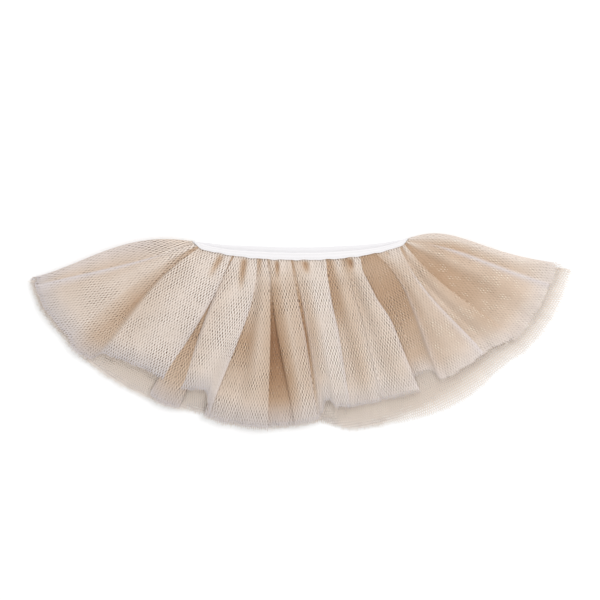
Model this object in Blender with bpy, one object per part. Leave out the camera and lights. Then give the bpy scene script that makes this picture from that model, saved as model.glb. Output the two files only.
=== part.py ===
"""Baby's ballet tutu, laid flat with its front up.

Three cut pieces: a narrow waistband loop, a top layer of stiff net and an under layer of finer net. Each
net layer is a tube, gathered into the waistband and open at the hem. Laid out, the back of each tube lies
flat and the front lies on it in deep flutes that fan out from the waist. Metres, +Z up, waist towards +Y.
"""

import math

import bpy
import numpy as np

MM = 0.001

# Cloth
NET_WALL = 1.0 * MM
SEAM_GAP = 0.3 * MM
SHARP_ANGLE = math.radians(50.0)

# Waist: a shallow smile in plan, its right end drawn up higher than its left
WAIST_HALF = 97.0 * MM
WAIST_Y = 63.5 * MM
WAIST_RISE_LEFT = 12.0 * MM
WAIST_RISE_RIGHT = 14.5 * MM
WAIST_CURVE = 2.4
WAIST_BACK_SHIFT = 4.8 * MM  # how far the back run shows above the front run
WAIST_END = 6.0 * MM  # the net climbs round the band's end in this length
WAIST_END_RISE = 5.5 * MM

# Waistband
BAND_WIDTH = 7.2 * MM
BAND_THICK = 2.3 * MM
BAND_END_INSET = 3.2 * MM
BAND_STATIONS = 30
BAND_BEND_STEPS = 4

# Fan: every fold runs from the waist to a bearing on the hem, seen from this centre
FAN_CENTRE = (2.0 * MM, 117.5 * MM)
SIDE_BEARING_LEFT = -74.0
SIDE_BEARING_RIGHT = 76.0
SIDE_BOW_LEFT = -10.5 * MM
SIDE_BOW_RIGHT = 9.0 * MM
SIDE_BOW_REACH = 4  # power by which that bow grows from the middle to the sides
BOW_RISE = 1.15  # powers of the bow's growth from the waist and of its fall to the hem
BOW_FALL = 2.0
BOW_FALL_RIGHT = 3.4  # the right side fold bows most near the waist
BOW_CHANGE = (60.0, 76.0)  # bearings between which that comes in

# Levels of the four cloths, floor to front, as mid-wall heights
TOP_BACK_Z = 0.5 * MM
UNDER_BACK_Z = 1.8 * MM
UNDER_FRONT_Z = 3.1 * MM
TOP_FRONT_Z = 4.4 * MM
TOP_FRONT_LIFT = 3.2 * MM  # the top layer's valleys rise this far clear of the under layer
UNDER_FLUTE_HEIGHT = 3.0 * MM
LIFT_BY = 0.15  # share of the net's length in which that lift is reached
FLUTE_FROM = 0.04  # share of its length at which the under layer starts to flute
FLUTE_BY = 0.4
UNDER_INSET_WAIST = 1.8 * MM  # how far its side folds lie inside the top layer's
UNDER_INSET_HEM = 4.0 * MM
UNDER_INSET_BY = 0.3

# Hem outline of the longest cloth: bearing in degrees from straight down, radius in mm
HEM_OUTLINE = (
    # bearing, radius
    (-74.0, 254.5),
    (-69.0, 255.0),
    (-61.5, 249.0),
    (-50.5, 239.0),
    (-37.7, 225.0),
    (-29.5, 217.0),
    (-26.7, 208.0),
    (-23.2, 212.5),
    (-10.7, 208.0),
    (-1.0, 202.0),
    (4.4, 199.0),
    (6.8, 192.5),
    (9.0, 206.0),
    (23.8, 216.5),
    (33.1, 225.5),
    (41.0, 230.5),
    (49.7, 232.5),
    (57.4, 242.5),
    (68.7, 248.0),
    (76.0, 248.0),
)

# Folds of the top layer's front, left to right
FOLD_COLUMNS = (
    "waist_left",  # mm from the centre line
    "waist_right",
    "hem_left",  # bearing, degrees
    "hem_right",
    "bow_left",  # mm sideways at the most, + towards the right side
    "bow_right",
    "crest",  # mm above the valleys, at the hem
    "tuck_left",  # mm that the foot is tucked under the edge, or runs out from it where negative
    "tuck_right",
    "hem_up_left",  # mm that this layer's hem is short of the outline
    "hem_up_right",
    "hem_up_after",  # the same, along the valley to the fold's right
)
FOLDS = (
    (-95.5, -93.0, -72.0, -60.0, 3.0, -5.0, 6.0, -2.0, -12.0, 7.0, 8.0, 10.0),
    (-91.5, -61.5, -53.5, -37.6, -5.0, 3.5, 9.0, 4.5, 3.0, 15.0, 21.0, 3.0),
    (-59.5, -38.5, -33.0, -24.0, -3.0, 5.0, 8.5, 3.0, 4.5, 19.0, 3.0, 1.0),
    (-36.5, -29.5, -17.5, -8.6, 0.0, 2.5, 7.0, -6.0, 3.0, 1.0, 0.0, 1.0),
    (-27.5, -8.5, -2.6, 4.0, -3.5, 1.5, 9.0, 4.5, 1.0, 0.0, 2.0, 3.0),
    (-6.5, 24.0, 5.2, 13.0, 1.5, 0.0, 8.0, 1.0, 3.0, 3.0, 18.0, 20.0),
    (26.0, 40.0, 15.0, 21.2, 0.0, 1.0, 5.5, -5.0, -1.5, 20.0, 21.0, 22.0),
    (42.0, 54.5, 22.8, 31.6, 1.0, 2.0, 8.0, -1.5, 4.5, 21.0, 23.0, 23.0),
    (67.0, 89.0, 37.4, 49.7, 8.0, -6.0, 9.0, 4.5, 4.0, 23.0, 17.0, 17.0),
    (90.3, 93.0, 51.6, 57.0, -6.0, -5.0, 6.5, -1.5, 3.5, 16.0, 14.0, 12.0),
    (94.0, 95.5, 62.5, 71.0, -2.0, 3.5, 6.0, -11.0, -3.0, 12.0, 11.0, 10.0),
)
# Section of one fold, foot to foot: share of its width, share of its crest height
FOLD_SECTION = (
    (0.0, 0.0),
    (0.0, 0.5),
    (0.1, 0.88),
    (0.36, 1.0),
    (0.64, 1.0),
    (0.9, 0.88),
    (1.0, 0.5),
    (1.0, 0.0),
)
# Plain cloths: how far each hem is short of the outline
TOP_TIP_UP_LEFT = 6.0 * MM
TOP_TIP_UP_RIGHT = 10.0 * MM
TOP_BACK_UP = 2.0 * MM
UNDER_BACK_UP = 1.0 * MM

UNDER_FLUTES = 14
UNDER_STEPS_PER_FLUTE = 4
FLUTE_WANDER = 0.011  # how unevenly the under layer's flutes are spaced, as a share of its width
FLUTE_WANDER_WAVES = 3.3
FLUTE_EDGES = (0.02, 0.1)  # the flutes fade out towards each side fold between these shares
BACK_STATIONS = 22
TUCK_BY = 0.5  # share of the net's length in which a fold's feet are fully tucked
CREST_GROWTH = 0.75  # power of the share of its length by which a fold rises
END_CROWDING = 0.7  # threads of a plain cloth lie closer towards its side folds, by this share
PLAIN_INSET = 2.0 * MM
SIDE_STEPS = 4
NET_ROWS = (0.0, 0.04, 0.1, 0.18, 0.28, 0.4, 0.53, 0.67, 0.83, 1.0)


def smooth_step(x):
    """0 below 0, 1 above 1, and a soft rise between."""
    x = min(1.0, max(0.0, x))
    return x * x * (3.0 - 2.0 * x)


def between(first, second, share):
    """The value a share of the way from first to second."""
    return first + (second - first) * share


def smile_y(x, back):
    """The waist's plan curve, without the climb round its ends."""
    share = min(1.0, abs(x) / WAIST_HALF)
    rise = WAIST_RISE_LEFT if x < 0.0 else WAIST_RISE_RIGHT
    return WAIST_Y + rise * share**WAIST_CURVE + back * WAIST_BACK_SHIFT * (1.0 - share**2)


def waist_point(x, back):
    """Plan position of the waistband's lower edge. back is 0 on the front run and 1 on the back run."""
    into_end = max(0.0, (abs(x) - WAIST_HALF) / WAIST_END + 1.0)
    return np.array((x, smile_y(x, back) + WAIST_END_RISE * into_end**2))


def outline_slopes(bearings, radii):
    """Slope of the hem outline at each row: none at a peak or a notch, the gentler side's elsewhere."""
    steep = np.diff(radii) / np.diff(bearings)
    before, after = steep[:-1], steep[1:]
    same_way = before * after > 0.0
    inner = np.where(same_way, 2.0 * before * after / np.where(same_way, before + after, 1.0), 0.0)
    return np.concatenate(((steep[0],), inner, (steep[-1],)))


def hem_radius(bearing):
    """Radius of the hem outline at a bearing, on a smooth curve through the outline's rows."""
    bearings, radii = np.array(HEM_OUTLINE).T
    slopes = outline_slopes(bearings, radii)
    row = min(max(int(np.searchsorted(bearings, bearing)) - 1, 0), len(bearings) - 2)
    step = bearings[row + 1] - bearings[row]
    share = min(1.0, max(0.0, (bearing - bearings[row]) / step))
    ease = smooth_step(share)
    leave = slopes[row] * step * share * (1.0 - share) ** 2
    arrive = slopes[row + 1] * step * share**2 * (1.0 - share)
    return (radii[row] * (1.0 - ease) + radii[row + 1] * ease + leave - arrive) * MM


def hem_point(bearing, shorter):
    """Plan position on the hem at a bearing, a distance inside the outline."""
    angle = math.radians(bearing)
    radius = hem_radius(bearing) - shorter
    return np.array((FAN_CENTRE[0] + radius * math.sin(angle), FAN_CENTRE[1] - radius * math.cos(angle)))


def bow_shape(s, bearing):
    """How far along a fold its sideways bow shows: none at waist and hem, most where it peaks."""
    change = smooth_step((bearing - BOW_CHANGE[0]) / (BOW_CHANGE[1] - BOW_CHANGE[0]))
    fall = between(BOW_FALL, BOW_FALL_RIGHT, change)
    peak = BOW_RISE / (BOW_RISE + fall)
    return (s / peak) ** BOW_RISE * ((1.0 - s) / (1.0 - peak)) ** fall


def side_bow(bearing):
    """Bow of a thread of a plain cloth: all of it at the side folds, none in the middle."""
    if bearing < 0.0:
        return SIDE_BOW_LEFT * (bearing / SIDE_BEARING_LEFT) ** SIDE_BOW_REACH
    return SIDE_BOW_RIGHT * (bearing / SIDE_BEARING_RIGHT) ** SIDE_BOW_REACH


def thread_point(s, waist_x, bearing, bow, shorter, back, sideways, z):
    """A point on a thread of the cloth, at share s of its way from waist to hem."""
    start = waist_point(waist_x, back) - np.array((0.0, SEAM_GAP))
    end = hem_point(bearing, shorter)
    along = (end - start) / np.linalg.norm(end - start)
    across = np.array((-along[1], along[0]))
    plan = start + (end - start) * s + across * (bow * bow_shape(s, bearing) + sideways)
    return (plan[0], plan[1], z)


def valley_z(s):
    """Mid-wall height of the top layer's valleys."""
    return TOP_FRONT_Z + TOP_FRONT_LIFT * smooth_step(s / LIFT_BY)


def fold_thread(s, fold, place):
    """One thread of a fold at row s. The first and last threads are the feet, under its two edges."""
    across, level = FOLD_SECTION[place]
    shorter = between(fold["hem_up_left"], fold["hem_up_right"], across)
    sideways = 0.0
    if place == 0:
        sideways = fold["tuck_left"] * smooth_step(s / TUCK_BY)
        shorter = between(fold["hem_up_before"], shorter, 0.5)
    if place == len(FOLD_SECTION) - 1:
        sideways = -fold["tuck_right"] * smooth_step(s / TUCK_BY)
        shorter = between(fold["hem_up_after"], shorter, 0.5)
    return thread_point(
        s,
        between(fold["waist_left"], fold["waist_right"], across) * MM,
        between(fold["hem_left"], fold["hem_right"], across),
        between(fold["bow_left"], fold["bow_right"], across) * MM,
        shorter * MM,
        0.0,
        sideways * MM,
        valley_z(s) + fold["crest"] * MM * level * s**CREST_GROWTH,
    )


def valley_thread(s, fold, after):
    """The thread along the valley between a fold and the one after it, at row s."""
    slide = between(after["tuck_left"], -fold["tuck_right"], 0.5) * smooth_step(s / TUCK_BY)
    return thread_point(
        s,
        between(fold["waist_right"], after["waist_left"], 0.5) * MM,
        between(fold["hem_right"], after["hem_left"], 0.5),
        between(fold["bow_right"], after["bow_left"], 0.5) * MM,
        fold["hem_up_after"] * MM,
        0.0,
        slide * MM,
        valley_z(s),
    )


def top_front_rows(s):
    """The top layer's front at row s: each fold foot to foot, with a thread along each valley."""
    folds = [dict(zip(FOLD_COLUMNS, row)) for row in FOLDS]
    points = []
    hem_up_before = folds[0]["hem_up_left"]
    for index, fold in enumerate(folds):
        fold["hem_up_before"] = hem_up_before
        points += [fold_thread(s, fold, place) for place in range(len(FOLD_SECTION))]
        if index + 1 < len(folds):
            points.append(valley_thread(s, fold, folds[index + 1]))
        hem_up_before = fold["hem_up_after"]
    return points


def side_rows(s, side, inset, front_z, back_z, front_short, back_short):
    """The rounded fold where a tube's front turns into its back, from the front down.

    side is -1 at the left and 1 at the right. inset is how far it lies inside the outermost cloth.
    """
    bearing = SIDE_BEARING_LEFT if side < 0 else SIDE_BEARING_RIGHT
    bow = SIDE_BOW_LEFT if side < 0 else SIDE_BOW_RIGHT
    radius = (front_z - back_z) / 2.0
    points = []
    for step in range(SIDE_STEPS + 1):
        share = step / SIDE_STEPS
        angle = math.pi / 2.0 - math.pi * share
        sideways = -side * (radius * (1.0 - math.cos(angle)) + inset)
        z = back_z + radius * (1.0 + math.sin(angle))
        shorter = between(front_short, back_short, share)
        points.append(thread_point(s, side * WAIST_HALF, bearing, bow, shorter, share, sideways, z))
    return points


def plain_rows(s, stations, back, shorter, height_at):
    """A plain cloth's threads from left to right, clear of its side folds."""
    points = []
    for station in range(stations):
        step = (station + 1.0) / (stations + 1.0)
        share = step - END_CROWDING * math.sin(2.0 * math.pi * step) / (2.0 * math.pi)
        bearing = between(SIDE_BEARING_LEFT, SIDE_BEARING_RIGHT, share)
        waist_x = (WAIST_HALF - PLAIN_INSET) * (2.0 * share - 1.0)
        points.append(
            thread_point(s, waist_x, bearing, side_bow(bearing), shorter, back, 0.0, height_at(share))
        )
    return points


def top_layer_ring(s):
    """All round the top layer at row s: front left to right, then back right to left."""
    floor = valley_z(s)
    right = side_rows(s, 1, 0.0, floor, TOP_BACK_Z, TOP_TIP_UP_RIGHT, 0.0)
    left = side_rows(s, -1, 0.0, floor, TOP_BACK_Z, TOP_TIP_UP_LEFT, 0.0)
    back = plain_rows(s, BACK_STATIONS, 1.0, TOP_BACK_UP, lambda share: TOP_BACK_Z)
    return top_front_rows(s) + right + back[::-1] + left[::-1]


def under_layer_ring(s):
    """All round the under layer at row s, inside the top layer."""
    rise = smooth_step((s - FLUTE_FROM) / (FLUTE_BY - FLUTE_FROM))
    inset = between(UNDER_INSET_WAIST, UNDER_INSET_HEM, smooth_step(s / UNDER_INSET_BY))

    def flute(share):
        wandered = share + FLUTE_WANDER * math.sin(2.0 * math.pi * FLUTE_WANDER_WAVES * share)
        wave = 0.5 - 0.5 * math.cos(2.0 * math.pi * UNDER_FLUTES * wandered)
        from_side = min(share, 1.0 - share) - FLUTE_EDGES[0]
        clear_of_side = smooth_step(from_side / (FLUTE_EDGES[1] - FLUTE_EDGES[0]))
        return UNDER_FRONT_Z + UNDER_FLUTE_HEIGHT * rise * wave * clear_of_side

    front = plain_rows(s, UNDER_FLUTES * UNDER_STEPS_PER_FLUTE - 1, 0.0, 0.0, flute)
    right = side_rows(s, 1, inset, UNDER_FRONT_Z, UNDER_BACK_Z, 0.0, UNDER_BACK_UP)
    left = side_rows(s, -1, inset, UNDER_FRONT_Z, UNDER_BACK_Z, 0.0, UNDER_BACK_UP)
    back = plain_rows(s, BACK_STATIONS, 1.0, UNDER_BACK_UP, lambda share: UNDER_BACK_Z)
    return front + right + back[::-1] + left[::-1]


def tube_mesh(name, grid, wall):
    """A closed wall of even thickness on a grid of rows by threads, open at both ends."""
    grid = np.array(grid)
    down = np.gradient(grid, axis=0)
    round_about = np.roll(grid, -1, axis=1) - np.roll(grid, 1, axis=1)
    normal = np.cross(down, round_about)
    normal = normal / np.linalg.norm(normal, axis=2, keepdims=True)
    rows, threads = grid.shape[:2]
    points = np.concatenate(((grid + normal * wall / 2.0), (grid - normal * wall / 2.0)))
    points = points.reshape(-1, 3)

    def corner(side, row, thread):
        return (side * rows + row) * threads + thread % threads

    faces = []
    for thread in range(threads):
        after = thread + 1
        for row in range(rows - 1):
            quad = ((row, thread), (row + 1, thread), (row + 1, after), (row, after))
            faces.append([corner(0, *place) for place in quad])
            faces.append([corner(1, *place) for place in reversed(quad)])
        for row, first, second in ((0, thread, after), (rows - 1, after, thread)):
            rim = ((0, first), (0, second), (1, second), (1, first))
            faces.append([corner(side, row, place) for side, place in rim])
    mesh = bpy.data.meshes.new(name)
    mesh.from_pydata([tuple(point) for point in points], [], faces)
    mesh.update()
    return mesh


def band_mesh(name):
    """The waistband: a flat strip on edge to edge, swept round the flattened loop."""
    reach = WAIST_HALF - BAND_END_INSET
    front_z = TOP_FRONT_Z + NET_WALL / 2.0 - BAND_THICK / 2.0
    back_z = TOP_BACK_Z - NET_WALL / 2.0 + BAND_THICK / 2.0
    radius = (front_z - back_z) / 2.0
    middle_z = (front_z + back_z) / 2.0
    stations = []
    for station in range(BAND_STATIONS + 1):
        x = reach * (2.0 * station / BAND_STATIONS - 1.0)
        stations.append((x, 0.0, front_z, 0.0, 1.0))
    for step in range(1, BAND_BEND_STEPS):
        angle = math.pi / 2.0 - math.pi * step / BAND_BEND_STEPS
        out, up = math.cos(angle), math.sin(angle)
        stations.append((reach + radius * out, 0.5 - 0.5 * up, middle_z + radius * up, out, up))
    for station in range(BAND_STATIONS, -1, -1):
        x = reach * (2.0 * station / BAND_STATIONS - 1.0)
        stations.append((x, 1.0, back_z, 0.0, -1.0))
    for step in range(1, BAND_BEND_STEPS):
        angle = math.pi / 2.0 - math.pi * step / BAND_BEND_STEPS
        out, up = math.cos(angle), -math.sin(angle)
        stations.append((-reach - radius * out, 0.5 - 0.5 * up, middle_z + radius * up, -out, up))
    points = []
    for x, back, z, out, up in stations:
        for upper, side in ((False, 1.0), (True, 1.0), (True, -1.0), (False, -1.0)):
            half = side * BAND_THICK / 2.0
            edge_x = x + out * half
            edge_y = smile_y(edge_x, back) + BAND_WIDTH if upper else waist_point(edge_x, back)[1]
            points.append((edge_x, edge_y, z + up * half))
    count = len(stations)
    faces = []
    for station in range(count):
        after = (station + 1) % count
        for edge in range(4):
            following = (edge + 1) % 4
            faces.append(
                (4 * station + edge, 4 * after + edge, 4 * after + following, 4 * station + following)
            )
    mesh = bpy.data.meshes.new(name)
    mesh.from_pydata(points, [], faces)
    mesh.update()
    return mesh


def cloth_material(name, colour, roughness):
    """A matt cloth colour with no metal in it."""
    material = bpy.data.materials.new(name)
    material.use_nodes = True
    shader = material.node_tree.nodes["Principled BSDF"]
    shader.inputs["Base Color"].default_value = (*colour, 1.0)
    shader.inputs["Roughness"].default_value = roughness
    shader.inputs["Metallic"].default_value = 0.0
    material.diffuse_color = (*colour, 1.0)
    return material


def add_object(name, mesh, material):
    """Put one cut piece in the scene."""
    mesh.materials.append(material)
    mesh.shade_smooth()
    mesh.set_sharp_from_angle(angle=SHARP_ANGLE)
    piece = bpy.data.objects.new(name, mesh)
    bpy.context.scene.collection.objects.link(piece)
    return piece


def centre_on_floor(pieces):
    """Move all the pieces together, so that the origin is under the middle of their box."""
    points = np.array([vertex.co for piece in pieces for vertex in piece.data.vertices])
    low, high = points.min(axis=0), points.max(axis=0)
    shift = np.array(((low[0] + high[0]) / 2.0, (low[1] + high[1]) / 2.0, low[2]))
    for piece in pieces:
        for vertex in piece.data.vertices:
            vertex.co = np.array(vertex.co) - shift


for leftover in list(bpy.data.objects):
    bpy.data.objects.remove(leftover, do_unlink=True)

waistband = add_object(
    "waistband", band_mesh("waistband"), cloth_material("white_binding", (0.9, 0.89, 0.9), 0.75)
)
top_layer = add_object(
    "top_net_layer",
    tube_mesh("top_net_layer", [top_layer_ring(s) for s in NET_ROWS], NET_WALL),
    cloth_material("champagne_net", (0.68, 0.58, 0.49), 0.6),
)
under_layer = add_object(
    "under_net_layer",
    tube_mesh("under_net_layer", [under_layer_ring(s) for s in NET_ROWS], NET_WALL),
    cloth_material("cream_net", (0.66, 0.58, 0.47), 0.65),
)
centre_on_floor([waistband, top_layer, under_layer])
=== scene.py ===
"""Looks of a baby's ballet tutu laid flat: white waistband, top layer of stiff net, finer under layer.

Metres, +Z up, the waist towards +Y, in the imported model's own frame.
"""

import math

import bpy
import mathutils
import numpy as np
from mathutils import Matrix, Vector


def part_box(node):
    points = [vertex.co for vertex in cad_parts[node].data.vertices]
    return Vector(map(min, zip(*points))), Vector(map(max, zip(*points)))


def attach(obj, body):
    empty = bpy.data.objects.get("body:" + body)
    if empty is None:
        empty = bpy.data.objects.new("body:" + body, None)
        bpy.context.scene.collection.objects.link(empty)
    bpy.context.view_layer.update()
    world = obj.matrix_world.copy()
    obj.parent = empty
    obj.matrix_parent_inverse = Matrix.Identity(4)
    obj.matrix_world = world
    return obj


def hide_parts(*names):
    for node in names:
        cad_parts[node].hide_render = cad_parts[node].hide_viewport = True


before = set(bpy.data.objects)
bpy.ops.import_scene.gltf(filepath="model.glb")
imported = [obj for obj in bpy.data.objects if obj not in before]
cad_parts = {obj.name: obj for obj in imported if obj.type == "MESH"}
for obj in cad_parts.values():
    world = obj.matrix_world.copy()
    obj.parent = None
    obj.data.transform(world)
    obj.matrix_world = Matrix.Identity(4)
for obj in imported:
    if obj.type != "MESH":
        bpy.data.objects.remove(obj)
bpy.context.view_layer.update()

MM = 0.001
TURN = 2.0 * math.pi

# ----------------------------------------------------------------------
# Waistband. A narrow white stretch binding, folded in half along its length over the gathered top of the
# net and sewn through near its lower edge. Laid flat, its back run shows a little above its front run.
# ----------------------------------------------------------------------
WAIST_HALF = 97.0 * MM
WAIST_Y = 63.5 * MM  # of the binding's lower edge at the middle
WAIST_RISES = (12.0 * MM, 14.5 * MM)  # towards the left and the right end
WAIST_CURVE = 2.4  # power of those rises
WAIST_BACK_SHIFT = 4.8 * MM  # how far the back run shows above the front run
WAIST_BACK_FADE = 4  # power by which that dies out towards the ends
WAIST_END = 9.0 * MM  # the net climbs round the band's end in this length
WAIST_END_RISE = 5.5 * MM
BAND_WIDTH = 6.6 * MM
BAND_END_WIDTH = 4.8 * MM  # how much of it shows near its two ends
BAND_NARROWS = (0.3, 0.8)  # between these shares of the way to an end
BAND_THICK = 2.3 * MM
BAND_END_INSET = 3.2 * MM
BAND_FRONT_Z = 3.75 * MM  # middle of the front run's thickness
BAND_BACK_Z = 1.4 * MM
BAND_STEP = 1.3 * MM
BAND_BEND_STEPS = 12
BAND_WAVES = ((0.28 * MM, 3.1 * MM, 0.0), (0.18 * MM, 1.7 * MM, 0.0))  # height, length / 2 pi, start
LEAF = 0.7 * MM  # thickness of the binding itself
STITCHES = {"Spacing": 2.6 * MM, "Length": 1.9 * MM, "Radius": 0.16 * MM}
STITCH_UP = 1.5 * MM  # above the binding's lower edge
STITCH_WHITE = (0.9, 0.89, 0.9)
BINDING_WHITE = (0.80, 0.785, 0.795)
BINDING_SHADE = (0.74, 0.725, 0.735)
BINDING_PATCH = (0.78, 0.765, 0.775)
BINDING_INSIDE_SHADE = (0.73, 0.72, 0.735)
INSIDE_SHADE_HEIGHTS = (3.2 * MM, 2.0 * MM)  # painted shade: the inside of the loop darkens from the first down to the second
RIB_SPACING = 0.9 * MM
KNIT_SPACING = 0.55 * MM


def ease(x, low=0.0, high=1.0):
    """0 where x is under low, 1 where it is over high, and a soft rise between."""
    x = np.clip((x - low) / (high - low), 0.0, 1.0)
    return x * x * (3.0 - 2.0 * x)


def between(first, second, share):
    """The value a share of the way from first to second."""
    return first + (second - first) * share


def waves(place, table):
    """The sum of a few waves at a place."""
    return sum(height * np.sin(place / length + start) for height, length, start in table)


def smile_y(x, back):
    """The waist's plan curve, without the climb round its ends."""
    share = min(1.0, abs(x) / WAIST_HALF)
    rise = WAIST_RISES[int(x >= 0.0)] * share**WAIST_CURVE
    return WAIST_Y + rise + back * WAIST_BACK_SHIFT * (1.0 - share**WAIST_BACK_FADE)


def waist_point(x, back):
    """Plan position of the waistband's lower edge. back is 0 on the front run and 1 on the back run."""
    into_end = max(0.0, (abs(x) - WAIST_HALF) / WAIST_END + 1.0)
    return np.array((x, smile_y(x, back) + WAIST_END_RISE * into_end**2))


band_low, band_high = (np.array(corner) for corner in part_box("waistband"))
TO_FRAME = np.array(((band_low[0] + band_high[0]) / 2.0, band_low[1] - WAIST_Y, 0.0))


def place_object(name, data):
    """An object in the scene, at the origin."""
    placed = bpy.data.objects.new(name, data)
    bpy.context.scene.collection.objects.link(placed)
    return placed


def plain_piece(name, points, faces, material):
    """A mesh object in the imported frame."""
    mesh = bpy.data.meshes.new(name)
    mesh.from_pydata((np.asarray(points) + TO_FRAME).tolist(), [], faces)
    mesh.materials.append(material)
    mesh.shade_smooth()
    mesh.update()
    return place_object(name, mesh)


class Wire:
    """One output in a node tree. Arithmetic on it adds Math nodes to that tree."""

    def __init__(self, nodes, socket):
        self.nodes = nodes
        self.socket = socket

    def maths(self, operation, *values):
        return self.nodes.add("ShaderNodeMath", {"operation": operation}, values)

    def __add__(self, other):
        return self.maths("ADD", self, other)

    __radd__ = __add__

    def __mul__(self, other):
        return self.maths("MULTIPLY", self, other)

    __rmul__ = __mul__

    def __sub__(self, other):
        return self.maths("SUBTRACT", self, other)

    def __rsub__(self, other):
        return self.maths("SUBTRACT", other, self)

    def __truediv__(self, other):
        return self.maths("DIVIDE", self, other)

    def __rpow__(self, other):
        return self.maths("POWER", other, self)

    def cosine(self):
        return self.maths("COSINE", self)

    def whole(self):
        return self.maths("FLOOR", self)

    def beside(self, output):
        """Another output of the same node."""
        return Wire(self.nodes, self.socket.node.outputs[output])


class Nodes:
    """A node tree being filled."""

    def __init__(self, tree):
        self.tree = tree
        tree.nodes.clear()

    def add(self, kind, settings=None, sockets=None, output=0):
        """Add a node: its settings first, then values or links for its sockets, by place or by name."""
        node = self.tree.nodes.new(kind)
        for name, value in (settings or {}).items():
            setattr(node, name, value)
        sockets = sockets or {}
        for place, value in sockets.items() if isinstance(sockets, dict) else enumerate(sockets):
            if isinstance(value, Wire):
                self.tree.links.new(value.socket, node.inputs[place])
            elif value is not None:
                node.inputs[place].default_value = value
        return Wire(self, node.outputs[output]) if node.outputs else None

    def mix(self, share, first, second):
        """A colour a share of the way from first to second."""
        first, second = ((*c, 1.0) if isinstance(c, tuple) else c for c in (first, second))
        sockets = {0: share, 6: first, 7: second}
        return self.add("ShaderNodeMix", {"data_type": "RGBA", "clamp_factor": True}, sockets, 2)

    def times(self, first, second):
        """Two colours multiplied together."""
        settings = {"data_type": "RGBA", "blend_type": "MULTIPLY"}
        return self.add("ShaderNodeMix", settings, {0: 1.0, 6: first, 7: second}, 2)

    def ramp(self, value, low, high):
        """0 at low, 1 at high, and a soft rise or fall between."""
        sockets = {"Value": value, "From Min": low, "From Max": high}
        return self.add("ShaderNodeMapRange", {"interpolation_type": "SMOOTHSTEP"}, sockets)

    def noise(self, where, scale, detail, output=0):
        """Soft random patches."""
        sockets = {"Vector": where, "Scale": scale, "Detail": detail}
        return self.add("ShaderNodeTexNoise", {}, sockets, output)

    def surface(self, colour, roughness, height, strength, distance, sheen=(0.0, 0.5)):
        """A Principled surface with a bump. sheen is its weight and roughness."""
        bump = {"Height": height, "Strength": strength, "Distance": distance}
        bump = self.add("ShaderNodeBump", {}, bump)
        sockets = {"Base Color": colour, "Roughness": roughness, "Normal": bump}
        sockets |= {"Sheen Weight": sheen[0], "Sheen Roughness": sheen[1]}
        return self.add("ShaderNodeBsdfPrincipled", {}, sockets)


def new_material(name, paint, *given):
    """A material whose surface is the shader that paint makes."""
    material = bpy.data.materials.new(name)
    material.use_nodes = True
    nodes = Nodes(material.node_tree)
    nodes.add("ShaderNodeOutputMaterial", {}, {"Surface": paint(nodes, *given)})
    return material


def paint_binding(nodes):
    """White stretch binding: fine ribs along it, a knit grain across them and a soft nap, with painted shade
    in their troughs and on the inside of the loop.
    """
    along = nodes.add("ShaderNodeSeparateXYZ", {}, [nodes.add("ShaderNodeUVMap", {"uv_map": "binding"})])
    rib = (along.beside(1) * (TURN / RIB_SPACING)).cosine()
    knit = (along * (TURN / KNIT_SPACING)).cosine()
    where = nodes.add("ShaderNodeTexCoord", {}, {}, 3)
    grain = rib * 0.5 + knit * 0.25 + nodes.noise(where, 900.0, 3.0) * 0.6
    # painted shade: greyer in the troughs of the ribs and the knit, and unevenly with the nap
    colour = nodes.mix(nodes.ramp(grain, -0.5, 0.9), BINDING_SHADE, BINDING_WHITE)
    patches = nodes.ramp(nodes.noise(where, 60.0, 2.0), 0.35, 0.65)
    colour = nodes.mix(patches * 0.25, colour, BINDING_PATCH)
    height = nodes.add("ShaderNodeSeparateXYZ", {}, [where], 2)
    # painted shade on the inside of the loop, darker lower down under the front run
    colour = nodes.mix(nodes.ramp(height, *INSIDE_SHADE_HEIGHTS), colour, BINDING_INSIDE_SHADE)
    return nodes.surface(colour, 0.78, grain, 0.6, 0.12 * MM, (0.25, 0.5))


def paint_sewing_thread(nodes, colour):
    """Plain thread with a little twist in it."""
    twist = nodes.noise(nodes.add("ShaderNodeTexCoord", {}, {}, 3), 2500.0, 2.0)
    shaded = nodes.mix(nodes.ramp(twist, 0.3, 0.7), tuple(0.82 * c for c in colour), colour)
    return nodes.surface(shaded, 0.55, twist, 0.4, 0.05 * MM)


def band_stations():
    """Round the loop: x, share of the way to the back run, mid height, and which way is outwards."""
    reach = WAIST_HALF - BAND_END_INSET
    radius = (BAND_FRONT_Z - BAND_BACK_Z) / 2.0
    middle = (BAND_FRONT_Z + BAND_BACK_Z) / 2.0
    run = np.linspace(-reach, reach, int(2.0 * reach / BAND_STEP) + 1)
    bend = math.pi / 2.0 - math.pi * np.arange(1, BAND_BEND_STEPS) / BAND_BEND_STEPS
    stations = []
    for side, run_back, run_z in ((1.0, 0.0, BAND_FRONT_Z), (-1.0, 1.0, BAND_BACK_Z)):
        stations += [(side * x, run_back, run_z, 0.0, side) for x in run]
        for angle in bend:
            out, up = side * math.cos(angle), side * math.sin(angle)
            x = side * reach + radius * out
            stations.append((x, 0.5 - 0.5 * up, middle + radius * up, out, up))
    return stations


def on_band(station, up_the_width, outwards):
    """A point of the band at a station: up its width, and out from the middle of its thickness."""
    x, back, z, out, up = station
    edge_x = x + out * outwards
    low = waist_point(edge_x, back)[1] + waves(edge_x, BAND_WAVES)
    width = between(BAND_WIDTH, BAND_END_WIDTH, ease(abs(edge_x) / WAIST_HALF, *BAND_NARROWS))
    high = smile_y(edge_x, back) + width
    return (edge_x, between(low, high, up_the_width / BAND_WIDTH), z + up * outwards)


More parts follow.
